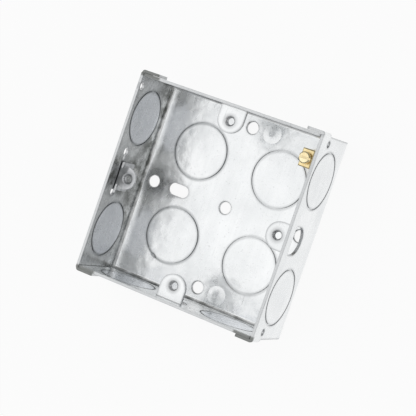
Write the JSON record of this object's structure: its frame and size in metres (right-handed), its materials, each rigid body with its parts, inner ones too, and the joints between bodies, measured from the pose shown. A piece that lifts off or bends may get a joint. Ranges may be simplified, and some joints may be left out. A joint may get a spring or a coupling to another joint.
{
  "type": "flush back box",
  "caption": "Shallow square galvanised steel back box with sheared knockouts, inward screw lugs, a sliding side lug and a brass earth terminal.",
  "frame": {"origin": "middle of the centre hole, on the outer face of the back", "axes": "+X across the box towards the fixed side lug, +Y up the box, +Z out of the open mouth"},
  "size_m": [0.0731, 0.0746, 0.0265],
  "materials": {
    "galvanised_steel": "mottled zinc coat",
    "lug_steel": "zinc plated",
    "terminal_brass": "plain brass",
    "screw_brass": "plain brass"
  },
  "bodies": {
    "box": {"back_box": "galvanised_steel", "earth_terminal": "terminal_brass"},
    "sliding_lug": {"adjustable_lug": "lug_steel"},
    "clamp_screw": {"earth_screw": "screw_brass"}
  },
  "joints": [
    {"name": "lug_slide", "type": "slide", "parent": "box", "child": "sliding_lug", "axis": [0, 1, 0], "range_m": [-0.002, 0.005]},
    {"name": "clamp_screw_travel", "type": "slide", "parent": "box", "child": "clamp_screw", "axis": [0, 0, 1], "range_m": [-0.00115, 0.002]}
  ]
}
